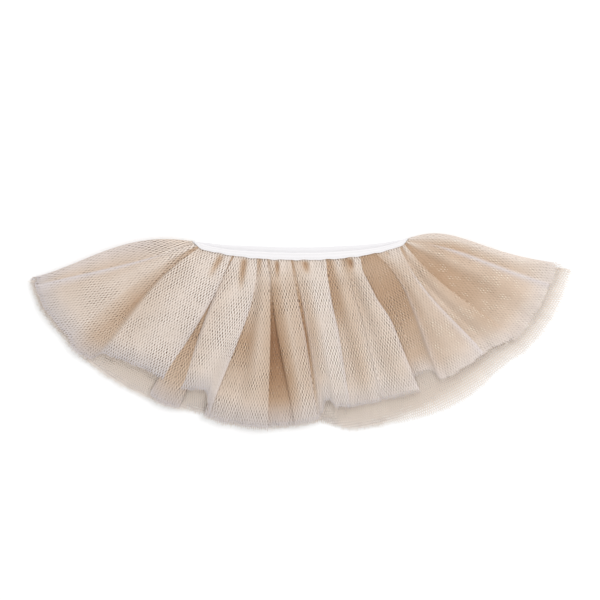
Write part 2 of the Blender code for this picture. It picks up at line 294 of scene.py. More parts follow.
def folded_section():
    """The binding's section, folded in half: up the outer leaf, over the fold, down, and back inside."""
    half = BAND_THICK / 2.0
    inner = half - LEAF
    top = BAND_WIDTH - half
    lip = LEAF / 2.0
    up = np.linspace(lip, top, 9)
    over = np.linspace(0.0, math.pi, 11)[1:-1]
    lip_turn = np.linspace(0.0, math.pi, 5)[1:-1]

    def leaves(out, side):
        """Up one leaf, over the fold and down the other, then round its raw edge."""
        leaf = [(y, side * out) for y in up]
        leaf += [(top + out * math.sin(a), side * out * math.cos(a)) for a in over]
        leaf += [(y, -side * out) for y in up[::-1]]
        middle = -(half - lip)
        return leaf + [(lip - lip * math.sin(a), side * middle - lip * math.cos(a)) for a in lip_turn]

    return leaves(half, 1.0) + leaves(inner, -1.0)


CORNERS = ((0, 0), (1, 0), (1, 1), (0, 1))  # of a quad, in steps along a grid's rows and columns


def ring_faces(rows, columns, closed_rows):
    """Quads of a grid whose columns close round, and whose rows close too if asked."""
    last = rows if closed_rows else rows - 1
    row, column = np.meshgrid(np.arange(last), np.arange(columns), indexing="ij")
    corners = [((row + i) % rows * columns + (column + j) % columns).ravel() for i, j in CORNERS]
    return np.stack(corners, axis=1)


def gone_round(points, axis=0):
    """Distance gone at each point of a closed line, and at the first point again."""
    gone = np.cumsum(np.linalg.norm(np.roll(points, -1, axis=axis) - points, axis=-1), axis=axis)
    return np.concatenate((np.zeros_like(np.take(gone, [0], axis=axis)), gone), axis=axis)


def give_uv(piece, name, corner_uv):
    """Store a UV for each face corner, in metres of cloth."""
    layer = piece.data.uv_layers.new(name=name)
    layer.data.foreach_set("uv", np.asarray(corner_uv, dtype=np.float32).ravel())


def lay_along(name, points, sizes, make_one, material, ways=None):
    """A piece of small shapes laid one after another along a closed line, by Geometry Nodes.

    sizes are the tree's inputs and their values. make_one gives the nodes of one shape, its turn and its
    scale. ways is a direction for each point, for make_one to read.
    """
    mesh = bpy.data.meshes.new(name)
    edges = [(i, (i + 1) % len(points)) for i in range(len(points))]
    mesh.from_pydata((np.asarray(points) + TO_FRAME).tolist(), edges, [])
    if ways is not None:
        attribute = mesh.attributes.new("out", "FLOAT_VECTOR", "POINT")
        attribute.data.foreach_set("vector", ways.astype(np.float32).ravel())
    line = place_object(name, mesh)
    tree = bpy.data.node_groups.new(name, "GeometryNodeTree")
    face = tree.interface
    face.new_socket(name="Line", in_out="INPUT", socket_type="NodeSocketGeometry")
    inputs = [face.new_socket(name=size, in_out="INPUT", socket_type="NodeSocketFloat") for size in sizes]
    face.new_socket(name="Laid", in_out="OUTPUT", socket_type="NodeSocketGeometry")
    nodes = Nodes(tree)
    start = nodes.add("NodeGroupInput")
    given = {size: start.beside(place + 1) for place, size in enumerate(sizes)}
    curve = nodes.add("GeometryNodeMeshToCurve", {}, [start])
    spacing = {"Curve": curve, "Length": given["Spacing"]}
    curve = nodes.add("GeometryNodeResampleCurve", {"mode": "LENGTH"}, spacing)
    one, turn, scale = make_one(nodes, given)
    laid = {"Points": curve, "Instance": one, "Rotation": turn, "Scale": scale}
    laid = nodes.add("GeometryNodeInstanceOnPoints", {}, laid)
    laid = nodes.add("GeometryNodeRealizeInstances", {}, {"Geometry": laid})
    laid = nodes.add("GeometryNodeSetMaterial", {}, {"Geometry": laid, "Material": material})
    nodes.add("NodeGroupOutput", {}, [laid])
    modifier = line.modifiers.new(name, "NODES")
    modifier.node_group = tree
    for socket, value in zip(inputs, sizes.values()):
        modifier[socket.identifier] = value
    mesh = bpy.data.meshes.new_from_object(line.evaluated_get(bpy.context.evaluated_depsgraph_get()))
    bpy.data.objects.remove(line, do_unlink=True)
    mesh.name = name
    return place_object(name, mesh)


def one_stitch(nodes, sizes):
    """A long bead that lies along the line."""
    tangent = nodes.add("GeometryNodeInputTangent")
    turn = nodes.add("FunctionNodeAlignRotationToVector", {"axis": "X"}, {"Vector": tangent})
    bead = nodes.add("GeometryNodeMeshUVSphere", {}, {"Segments": 6, "Rings": 4, "Radius": 1.0})
    bead = nodes.add("GeometryNodeSetShadeSmooth", {}, {"Geometry": bead})
    radius = sizes["Radius"]
    scale = nodes.add("ShaderNodeCombineXYZ", {}, [sizes["Length"] * 0.5, radius, radius])
    return bead, turn, scale


stations = band_stations()
section = folded_section()
band_grid = np.array([[on_band(station, up, out) for up, out in section] for station in stations])
band_faces = ring_faces(len(stations), len(section), True)
binding = new_material("white_stretch_binding", paint_binding)
waistband = plain_piece("binding", band_grid.reshape(-1, 3), band_faces.tolist(), binding)
gone_along = gone_round(band_grid[:, 0])
gone_across = gone_round(band_grid[0])
station_of, place_of = np.divmod(np.arange(len(band_faces)), len(section))
band_uv = [np.stack((gone_along[station_of + i], gone_across[place_of + j]), axis=1) for i, j in CORNERS]
give_uv(waistband, "binding", np.stack(band_uv, axis=1))
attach(waistband, "root")
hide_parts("waistband")

stitch_line = [on_band(station, STITCH_UP, BAND_THICK / 2.0) for station in stations]
white_thread = new_material("white_sewing_thread", paint_sewing_thread, STITCH_WHITE)
stitches = lay_along("binding_stitches", stitch_line, STITCHES, one_stitch, white_thread)
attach(stitches, "root")

# ----------------------------------------------------------------------
# Top net layer. Stiff champagne net with clear holes, one tube gathered into the binding. Its front stands
# in eleven deep uneven flutes that fan out from the waist, and its back lies flat in shallow pressed pleats.
# ----------------------------------------------------------------------
FAN_CENTRE = (2.0 * MM, 117.5 * MM)
SIDE_BEARINGS = (-74.0, 76.0)  # of the left and the right side fold, degrees from straight down
SIDE_BOWS = (-10.5 * MM, 9.0 * MM)  # sideways, + towards the right
SIDE_BOW_REACH = 4  # power by which that bow grows from the middle to the sides
BOW_RISE = 1.15
BOW_FALLS = (2.0, 3.4)  # before and after the bearings where it changes
BOW_CHANGE = (60.0, 76.0)
TOP_BACK_Z = 0.5 * MM
UNDER_BACK_Z = 1.8 * MM
UNDER_FRONT_Z = 3.1 * MM
TOP_FRONT_Z = 4.4 * MM
TOP_FRONT_LIFT = 3.2 * MM
LIFT_BY = 0.15
FLATTER_FROM = 0.55
HEM_FLATTENING = 0.88
HEM_OUTLINE = (
    # bearing in degrees from straight down, radius in mm
    (-74, 254.5), (-69, 255), (-61.5, 249), (-50.5, 239), (-37.7, 225), (-29.5, 217),
    (-26.7, 208), (-23.2, 212.5), (-10.7, 208), (-1, 202), (4.4, 199), (5.6, 198),
    (6.7, 193.8), (7.6, 196), (8.2, 204), (9.3, 207), (23.8, 216.5), (33.1, 225.5),
    (41, 230.5), (49.7, 232.5), (57.4, 242.5), (68.7, 248), (76, 248),
)
FOLD_COLUMNS = (
    "waist_left",  # mm from the centre line
    "waist_right",
    "hem_left",  # bearing, degrees
    "hem_right",
    "bow_left",  # mm sideways at the most, + towards the right side
    "bow_right",
    "pinch_left",  # the same, but only in the first third below the waist
    "pinch_right",
    "crest",  # mm above the valleys, at its highest
    "tuck_left",  # mm that the foot is tucked under the edge, or runs out from it where negative
    "tuck_right",
)
FOLDS = (
    (-95.5, -93, -72, -60, 3, -5, 0, 0, 6, -2, -15),
    (-91.5, -61.5, -52.4, -37.6, -5, 3.5, 0, 0, 9, -3, 3),
    (-59.5, -38.5, -33, -23.4, -3, 6, 0, 1, 8.5, 9, 4.5),
    (-36.5, -29.5, -17.5, -8.6, 1, 2.5, 0, 0, 7, -6, 0),
    (-27.5, -8.5, -2, 4, -3.2, 1.5, 0, -1, 9, 0.5, 1),
    (-6.5, 23, 5.2, 13, 1.5, 0.5, 0, -1.5, 8, -2, 3),
    (25.5, 40, 15, 21.2, 0, 1, -0.5, -1, 5.5, -5, -1.5),
    (42, 53, 22.8, 31.6, 1, 2.5, -1, -4, 8, -1.5, 4.5),
    (68, 89, 37.4, 49.7, 7, -6, 1, 0, 9, -1, 4),
    (90.3, 93, 51.6, 57, -6, -5, 0, 0, 6.5, -1.5, 3.5),
    (94, 95.5, 62.5, 71, -2, 3.5, 0, 0, 6, -11, -3),
)
HEM_COLUMNS = (
    "up_left",  # mm that this layer's hem is short of the outline
    "up_right",
    "bulge",  # mm more than that in the middle
    "up_after",  # mm short along the valley to the fold's right
    "shallow_after",  # mm that the same valley stands above the deepest ones, at its highest
)
FOLD_HEMS = (
    (3, 4, 0, 1, 0.5),
    (15, 21, 4.5, 0.5, 3),
    (18, 1, 9.5, 0.5, 3.5),
    (1, 0, 0, 1, 2),
    (0, 2, 0, 2, 4),
    (7, 18, 6, 20, 2.5),
    (20, 21, 0, 22, 3),
    (21, 23, 0, 37, 2.5),
    (23, 17, 0, 17, 4),
    (16, 14, 0, 12, 3),
    (12, 11, 0, 10, 0),
)
SHAPE_COLUMNS = (
    "drop_left",  # share of its height at which the fold's side turns under
    "drop_right",
    "pale_left",  # how strong the painted highlight on the turned edge is
    "pale_right",
    "crest_shade_left",  # painted shade across the crest
    "crest_shade",
    "crest_shade_right",
)
FOLD_SHAPES = (
    (0.3, 0.85, 1, 0, 0.05, 0.05, 0),
    (0.85, 0.5, 0, 0.45, 0.02, 0, 0),
    (0.4, 0.6, 0.3, 0.5, 0.1, 0, 0),
    (0.1, 0.75, 0, 0, 0.28, 0.16, 0.15),
    (0.4, 0.5, 0, 0.3, 0.5, 0.15, 0.2),
    (0.7, 0.4, 0.2, 0.65, 0.1, 0, 0),
    (0.3, 0.3, 0, 0.1, 0.3, 0.2, 0.15),
    (0.3, 0.5, 0, 0.5, 0.15, 0.1, 0.05),
    (0.5, 0.4, 0.3, 1, 0.18, 0.15, 0.15),
    (0.4, 0.3, 0, 0, 0.2, 0.22, 0.3),
    (0.3, 0.3, 0, 0.9, 0.25, 0.22, 0.2),
)
HALF_SECTION = (
    # share of the fold's width, whether it is a foot, how much painted highlight of a turned edge it takes
    (0.0, True, 0.0),
    (0.0, False, 1.0),
    (0.05, False, 0.6),
    (0.16, False, 0.1),
    (0.33, False, 0.0),
    (0.5, False, 0.0),
)
FOLD_SECTION = HALF_SECTION + tuple((1.0 - across, *rest) for across, *rest in HALF_SECTION[-2::-1])
CRISP_SIDE = 3.2  # power of the dome on the side of a sharp turned edge
CRISP_TUCKS = (-2.0, 3.0)  # mm; a side is gentle at the first and sharp at the second
VALLEY_PLACES = (0.0, 0.12, 0.3, 0.5, 0.7, 0.9)
VALLEY_SHADES = (
    # painted shade at those places: outside the first fold, along each valley, and outside the last fold
    (0.05, 0, 0.12, 0.17, 0.14, 0.1),
    (0.4, 0.23, 0.28, 0.42, 0.3, 0.2),
    (0.4, 0.25, 0.35, 0.45, 0.35, 0.2),
    (0.4, 0.07, 0.17, 0.47, 0.2, 0.06),
    (0.3, 0, 0.7, 1, 0.75, 0.35),
    (0.45, 0.25, 0.6, 0.75, 0.4, 0.15),
    (0.5, 0.5, 0.5, 0.15, 0.1, 0.05),
    (0.45, 0.2, 0.2, 0.1, 0.05, 0),
    (0.45, 0.4, 0.5, 0.45, 0.3, 0.25),
    (0.4, 0.2, 0.2, 0.15, 0.2, 0.1),
    (0.45, 0.4, 0.5, 0.4, 0.25, 0.1),
    (0.2, 0.2, 0.4, 0.25, 0.2, 0.05),
)
SOFT_SIDE_SHADE = 1.2  # how much of the painted valley shade runs up the side of a gentle fold
CREST_SHADE_GROWS = (-0.02, 0.2)  # a crest's painted shade grows between these shares of the net's length
CREST_SHADE_FADES = (0.7, 1.0)
CREST_SHADE_FADE = 0.7
SIDE_SHADE = (0.07, 0.5)  # painted shade and painted turned-edge highlight along the left side fold
EDGE_HIGHLIGHT_GROWS = (0.08, 0.33)  # the painted highlight of a turned edge grows between these shares of the length
TOP_LEFT_UP = (6.0 * MM, 0.0)  # how far front and back are short of the outline at the left side fold
TOP_TIP_UP = 10.0 * MM  # the same for the front at the right side fold
TOP_BACK_UP = (2.0 * MM, 2.0 * MM, 16.0 * MM, 20.0 * MM)  # at these shares of the way to the right side
SHORT_PLACES = (0.0, 0.62, 0.75, 1.0)
BACK_STATIONS = 44
PLEATS = 11  # the back's
PLEAT_HEIGHT = 0.9 * MM
PLEAT_WANDERS = ((0.012, 2.7, 0.0), (0.006, 6.1, 1.0))  # how far to and fro, how many times, start
PLEATS_FROM_SIDE = (0.03, 0.12)
PLEATS_BY = 0.2
PLEAT_POWER = 1.5  # narrows their ridges
PLEAT_MIDDLE = 0.35
TUCK_BY = 0.5
FOOT_SHORT = 0.2  # how far a foot's hem follows its fold's and not the valley's
CREST_GROWTH = 0.6
CREST_SETTLE = 0.65  # share of its height that a fold has lost at the hem
CREST_SETTLES_FROM = 0.45
PINCH_GROWS_BY = 0.12
PINCH_GOES = (0.28, 0.5)
END_CROWDING = 0.7
PLAIN_INSET = 2.0 * MM
SIDE_STEPS = 4
SEAM_GAP = 0.3 * MM
INTO_BINDING = 2.2 * MM  # how far each net runs up inside the binding
SLOT_FRONT = (3.95 * MM, 3.55 * MM)  # heights of the top and the under net between the front leaves
SLOT_BACK = (1.15 * MM, 1.55 * MM)
SLOT_BY = 0.03
SLOT_ENDS = 3.0 * MM  # the slot closes in this length at the binding's ends
NET_ROWS = 76
ROW_CROWDING = 0.4  # towards the waist and the hem
FRONT_STEPS = 6  # mesh steps between two threads of the front
BACK_STEPS = 7
NET_LENGTH = 150.0 * MM
DIMPLE_COLUMNS = ("x", "y", "end_x", "end_y", "half_width", "depth")
DIMPLES = (
    # mm; soft hollows where a gather is pulled in just under the binding
    (-71.5, 66.5, -82, 47, 2.4, 1.3),
    (-50.5, 62.5, -54, 35, 2.6, 1.6),
    (-21, 62.5, -20.5, 46, 1.8, 1.5),
    (4, 62.5, 6.5, 50, 2.6, 1.6),
    (44.5, 64, 46.5, 54, 2, 1.5),
    (76, 73, 79.5, 66.5, 1.6, 0.9),
)
DIMPLE_STARTS = (-0.3, 0.1)  # shares of a dimple's length between which it deepens
DIMPLE_ENDS = (0.2, 1.1)
DIMPLES_FROM = (-0.005, 0.025)  # shares of the net's length in which the binding lets go of it
DIMPLE_SHADE = 0.33  # painted shade for each mm of depth
PUCKERS_FROM = (-0.002, 0.018)
PUCKER_REACH = 0.09  # share of the net's length in which the small gathers die out
PUCKERS = ((0.45 * MM, 1.05 * MM, 0.0), (0.27 * MM, 0.63 * MM, 1.0))  # height, length / 2 pi, start
HEM_BAND = 26.0 * MM  # width of the greyer, thinner margin along the cut edge
HEM_WAVES_FROM = 0.85  # share of the length at which the cut edge's unevenness begins
HEM_WAVES = ((0.35 * MM, 3.3 * MM, 0.0), (0.3 * MM, 1.21 * MM, 1.0), (0.2 * MM, 0.7 * MM, 2.0))
HEM_RIPPLES = ((0.3 * MM, 2.9 * MM, 0.5), (0.25 * MM, 1.7 * MM, 2.0))
LOWEST = 0.3 * MM  # the cloth's lowest points, clear of the surface it lies on
CUT_ENDS = {
    "Spacing": 1.9 * MM,
    "Shortest": 1.0 * MM,
    "Longest": 3.0 * MM,
    "Radius": 0.27 * MM,
    "Spread": 0.5,  # radians to either side
}
CUT_ENDS_LOWEST = 0.09 * MM
BACK_UV_PARTS = 12  # the back's cloth is measured from the middle of each of these parts
CHAMPAGNE_THREAD = (0.68, 0.59, 0.53)

even_rows = np.linspace(0.0, 1.0, NET_ROWS - 2)
slot_rows = np.array((-1.0, -0.5)) * INTO_BINDING / NET_LENGTH
rows = np.concatenate((slot_rows, between(even_rows, ease(even_rows), ROW_CROWDING)))  # shares of the length


def hem_slopes(bearings, radii):
    """Slope of the hem outline at each row: none at a peak or a notch, and a gentle one elsewhere."""
    steep = np.diff(radii) / np.diff(bearings)
    before, after = steep[:-1], steep[1:]
    same_way = before * after > 0.0
    inner = np.where(same_way, 2.0 * before * after / np.where(same_way, before + after, 1.0), 0.0)
    return np.concatenate((steep[:1], inner, steep[-1:]))


def hem_point(bearing, shorter):
    """Plan position on the hem at a bearing, a distance inside a smooth curve through the outline's rows."""
    bearings, radii = np.array(HEM_OUTLINE).T
    slopes = hem_slopes(bearings, radii)
    row = min(max(int(np.searchsorted(bearings, bearing)) - 1, 0), len(bearings) - 2)
    step = bearings[row + 1] - bearings[row]
    share = min(1.0, max(0.0, (bearing - bearings[row]) / step))
    leave = slopes[row] * step * share * (1.0 - share) ** 2
    arrive = slopes[row + 1] * step * share**2 * (1.0 - share)
    radius = (between(radii[row], radii[row + 1], ease(share)) + leave - arrive) * MM - shorter
    angle = math.radians(bearing)
    return np.array((FAN_CENTRE[0] + radius * math.sin(angle), FAN_CENTRE[1] - radius * math.cos(angle)))


def bow_shape(shares, bearing):
    """How far along a fold its sideways bow shows: none at waist and hem, most where it peaks."""
    fall = between(*BOW_FALLS, ease(bearing, *BOW_CHANGE))
    peak = BOW_RISE / (BOW_RISE + fall)
    return (shares / peak) ** BOW_RISE * ((1.0 - shares) / (1.0 - peak)) ** fall


def side_bow(bearing):
    """Bow of a thread of a plain cloth: all of it at the side folds, none in the middle."""
    side = int(bearing >= 0.0)
    return SIDE_BOWS[side] * (bearing / SIDE_BEARINGS[side]) ** SIDE_BOW_REACH


def thread_points(waist_x, bearing, bow, shorter, back, sideways, heights, slot_z=0.0):
    """The points of one thread of the cloth, a row each, from the binding's slot to the hem."""
    start = waist_point(waist_x, back) - np.array((0.0, SEAM_GAP))
    end = hem_point(bearing, shorter)
    along = (end - start) / np.linalg.norm(end - start)
    across = np.array((-along[1], along[0]))
    inside = np.clip((WAIST_HALF - BAND_END_INSET - abs(waist_x)) / SLOT_ENDS, 0.0, 1.0)
    shares = np.maximum(rows, 0.0)
    shift = bow * bow_shape(shares, bearing) + sideways
    plan = start + np.outer(shares, end - start) + np.outer(shift, across)
    plan[:, 1] += np.maximum(-rows, 0.0) * NET_LENGTH * inside
    heights = between(heights, slot_z, inside * (1.0 - ease(rows, 0.0, SLOT_BY)))
    return np.column_stack((plan, heights))


def flatter_hem():
    """What is left of each layer's lift at each row: most of it is gone at the hem."""
    return 1.0 - HEM_FLATTENING * ease(rows, FLATTER_FROM)


def valley_z():
    """Height of the top layer's valleys."""
    return TOP_FRONT_Z + TOP_FRONT_LIFT * ease(rows, 0.0, LIFT_BY) * flatter_hem()


def is_crisp(fold, left):
    """How crisply one side of a fold turns under: 0 for a gentle slope, 1 for a sharp edge."""
    return float(ease(fold["tuck_left" if left else "tuck_right"], *CRISP_TUCKS))


def crest_level(fold, across):
    """Share of the crest height at a share of the fold's width, domed by each side's crispness."""
    left = across < 0.5
    off_middle = abs(2.0 * across - 1.0)
    crisp = max(0.0, 1.0 - off_middle**CRISP_SIDE) ** (1.0 / CRISP_SIDE)
    dome = between(ease(1.0 - off_middle), crisp, is_crisp(fold, left))
    return between(fold["drop_left" if left else "drop_right"], 1.0, dome)


def crest_growth():
    """How much of its height a fold has at each row: it grows from the waist and settles at the hem."""
    return np.maximum(rows, 0.0) ** CREST_GROWTH * (1.0 - CREST_SETTLE * ease(rows, CREST_SETTLES_FROM))


def pinch_shape():
    """How much of a fold's pinch shows: most of it in the first third below the waist."""
    return ease(rows, 0.0, PINCH_GROWS_BY) * (1.0 - ease(rows, *PINCH_GOES))


def front_thread(waist_x, bearing, bow, shorter, sideways, height):
    """One thread of the top layer's front, from lengths in mm and a height above the valleys."""
    heights = valley_z() + height * MM * crest_growth()
    where = (waist_x * MM, bearing, bow * MM, shorter * MM, 0.0)
    return thread_points(*where, sideways * MM, heights, SLOT_FRONT[0])


def fold_thread(fold, across, foot):
    """One thread of a fold. The first and last threads are the feet, under its two edges."""
    sizes = ("waist", "hem", "bow", "up", "pinch")
    here = (between(fold[size + "_left"], fold[size + "_right"], across) for size in sizes)
    waist_x, bearing, bow, shorter, pinch = here
    shorter += fold["bulge"] * 4.0 * across * (1.0 - across)
    sideways = pinch * pinch_shape()
    height = fold["crest"] * crest_level(fold, across)
    if foot:
        side = "before" if across == 0.0 else "after"
        tuck = fold["tuck_left"] if across == 0.0 else -fold["tuck_right"]
        sideways = sideways + tuck * ease(rows, 0.0, TUCK_BY)
        shorter = between(fold["up_" + side], shorter, FOOT_SHORT)
        height = fold["shallow_" + side]
    return front_thread(waist_x, bearing, bow, shorter, sideways, height)


def valley_thread(fold, after):
    """The thread along the valley between a fold and the one after it."""
    sizes = ("waist", "hem", "bow", "pinch")
    middle = (between(fold[size + "_right"], after[size + "_left"], 0.5) for size in sizes)
    waist_x, bearing, bow, pinch = middle
    slide = between(after["tuck_left"], -fold["tuck_right"], 0.5) * ease(rows, 0.0, TUCK_BY)
    slide = slide + pinch * pinch_shape()
    return front_thread(waist_x, bearing, bow, fold["up_after"], slide, fold["shallow_after"])


def side_threads(side, inset, front_z, back_z, front_up, back_up):
    """The rounded fold where a tube's front turns into its back, from the front down.

    side is 0 at the left and 1 at the right. inset is how far it lies inside the outermost cloth, and
    front_up and back_up how far its hem is inside the outline.
    """
    outwards = (-1.0, 1.0)[side]
    radius = (front_z - back_z) / 2.0
    threads = []
    for share in np.linspace(0.0, 1.0, SIDE_STEPS + 1):
        angle = math.pi / 2.0 - math.pi * share
        sideways = -outwards * (radius * (1.0 - math.cos(angle)) + inset)
        heights = back_z + radius * (1.0 + math.sin(angle))
        shorter = between(front_up, back_up, share)
        waist_x = outwards * WAIST_HALF
        where = (waist_x, SIDE_BEARINGS[side], SIDE_BOWS[side], shorter, share)
        threads.append(thread_points(*where, sideways, heights))
    return threads


def plain_threads(count, back, short_by, slot_z, height_at):
    """A plain cloth's threads from left to right, clear of its side folds.

    short_by is how far its hem is inside the outline at each of the places from left to right.
    """
    threads = []
    for station in range(count):
        step = (station + 1.0) / (count + 1.0)
        share = step - END_CROWDING * math.sin(TURN * step) / TURN
        bearing = between(*SIDE_BEARINGS, share)
        waist_x = (WAIST_HALF - PLAIN_INSET) * (2.0 * share - 1.0)
        shorter = np.interp(share, SHORT_PLACES, short_by)
        where = (waist_x, bearing, side_bow(bearing), shorter, back)
        threads.append(thread_points(*where, 0.0, height_at(share), slot_z))
    return threads


def uneven_wave(share, count, wanders, from_side):
    """A wave from 0 to 1 that repeats unevenly across a cloth, and how far it is clear of the sides."""
    moved = share + sum(far * math.sin(TURN * times * share + start) for far, times, start in wanders)
    return 0.5 - 0.5 * math.cos(TURN * count * moved), ease(min(share, 1.0 - share), *from_side)


def pleat_heights(share):
    """Height of the back's pressed pleats along the thread at a share of the way from left to right."""
    wave, clear_of_side = uneven_wave(share, PLEATS, PLEAT_WANDERS, PLEATS_FROM_SIDE)
    return PLEAT_HEIGHT * (wave**PLEAT_POWER - PLEAT_MIDDLE) * ease(rows, 0.0, PLEATS_BY) * clear_of_side


def tube(front, inset, front_z, back_z, left_up, right_up, back_up, back_slot):
    """A net layer's closed ring of threads: its front, round the right side, its back, round the left."""
    right = side_threads(1, inset, front_z, back_z, *right_up)
    left = side_threads(0, inset, front_z, back_z, *left_up)
    back = plain_threads(BACK_STATIONS, 1.0, back_up, back_slot, lambda at: back_z + pleat_heights(at))
    return front + right + back[::-1] + left[::-1]


def smooth_ring(threads, steps):
    """A closed ring of threads drawn finer: a smooth curve through them at every row.

    steps is how many mesh steps follow each thread.
    """
    grid = np.stack(threads, axis=1)
    before, after = np.roll(grid, 1, axis=1), np.roll(grid, -1, axis=1)
    chord = np.sqrt(np.maximum(np.linalg.norm(after - grid, axis=2), 1e-6))[:, :, None]
    chord_before = np.roll(chord, 1, axis=1)
    slope = (grid - before) / chord_before - (after - before) / (chord_before + chord)
    slope = slope + (after - grid) / chord
    slope_after = np.roll(slope, -1, axis=1)
    fine = []
    for index, count in enumerate(steps):
        for t in np.arange(count) / count:
            fine.append(
                grid[:, index] * (2.0 * t**3 - 3.0 * t**2 + 1.0)
                + after[:, index] * (3.0 * t**2 - 2.0 * t**3)
                + slope[:, index] * chord[:, index] * (t**3 - 2.0 * t**2 + t)
                + slope_after[:, index] * chord[:, index] * (t**3 - t**2)
            )
    return np.stack(fine, axis=1)


def finer_values(values, steps):
    """Values of the threads at the same finer steps."""
    after = np.roll(values, -1, axis=0)
    places = [(index, t) for index, count in enumerate(steps) for t in np.arange(count) / count]
    return np.array([between(values[index], after[index], t) for index, t in places])


def ring_uv(grid, parts):
    """UVs in metres of cloth: along each thread from the waist, and across from its part's middle thread.

    parts says which part of the cloth, such as a fold, each step of the ring belongs to.
    """
    across = gone_round(grid, axis=1)
    down = np.linalg.norm(np.diff(grid, axis=0), axis=2)
    along = np.concatenate((np.zeros((1, grid.shape[1])), np.cumsum(down, axis=0)), axis=0)
    along = np.concatenate((along, along[:, :1]), axis=1)
    centres = np.array([int(np.mean(np.flatnonzero(parts == part))) for part in range(parts.max() + 1)])
    middle = across[:, centres[parts]]
    row, thread = np.meshgrid(np.arange(grid.shape[0] - 1), np.arange(grid.shape[1]), indexing="ij")
    corners = [
        np.stack((across[row + i, thread + j] - middle[row + i, thread], along[row + i, thread + j]), axis=2)
        for i, j in CORNERS
    ]
    return np.stack(corners, axis=2)


# Painted shade: the net's colour is darkened and warmed step by step where folds are deep, under turned
# edges and in the dimples, up to the number of steps below where it is full.
SHADE_STEP_TINT = (0.79, 0.683, 0.574)  # what each step of painted shade leaves of the colour
DEEPEST_SHADE_STEPS = 4.0
FUZZY_LEFT = (-0.21, -0.12)  # x between which the net at the left side gets its holes back
TOP_NET_LOOK = {
    "pitch": (2.35 * MM, 2.85 * MM),  # of the holes, across and along
    "narrow": 0.25,  # how much narrower than long they are
    "raggedness": 1.15,
    "wander": 1.7 * MM,
    "thread_size": 0.3 * MM,
    "hole": 0.82,  # level of the lattice above which it is open
    "soft": 0.12,
    "thinning": 0.25,  # towards the hem
    "closing": 0.25,  # where the net is matted
    "open_until": (0.06, 0.15),  # x; further right the net lies too close to show its holes
    "cut": (0.9, 1.0),  # how near the cut edge its own margin begins and is full
    "cut_thinning": 1.3,
    "cut_paling": 0.8,
    "margin": (0.56, 0.52, 0.54),
    "thread": (0.8, 0.694, 0.616),
    "thread_low": (0.68, 0.58, 0.503),
    "turned": (0.7, 0.64, 0.635),  # painted highlight along a turned edge
    "pale": (0.53, 0.495, 0.497),  # the band along the hem, at the left and at the right
    "pale_right": (0.71, 0.645, 0.61),
    "pale_over": (-0.1, 0.12),
    "paling": 0.75,
    # painted highlight on the thread's knots
    "lit": 0.65,
    "lit_colour": (0.99, 0.95, 0.9),
    "pit": (-0.05, 0.65, 1.0),  # painted shade in a hole: where it begins, is full, and how strong it is
    "pit_colour": (0.3, 0.22, 0.18),
    "glint": (0.98, 0.93, 0.78),  # painted glint on a few knots, in the gold of the metallic thread
    "glint_from": 0.9,
    "translucency": 0.15,
}


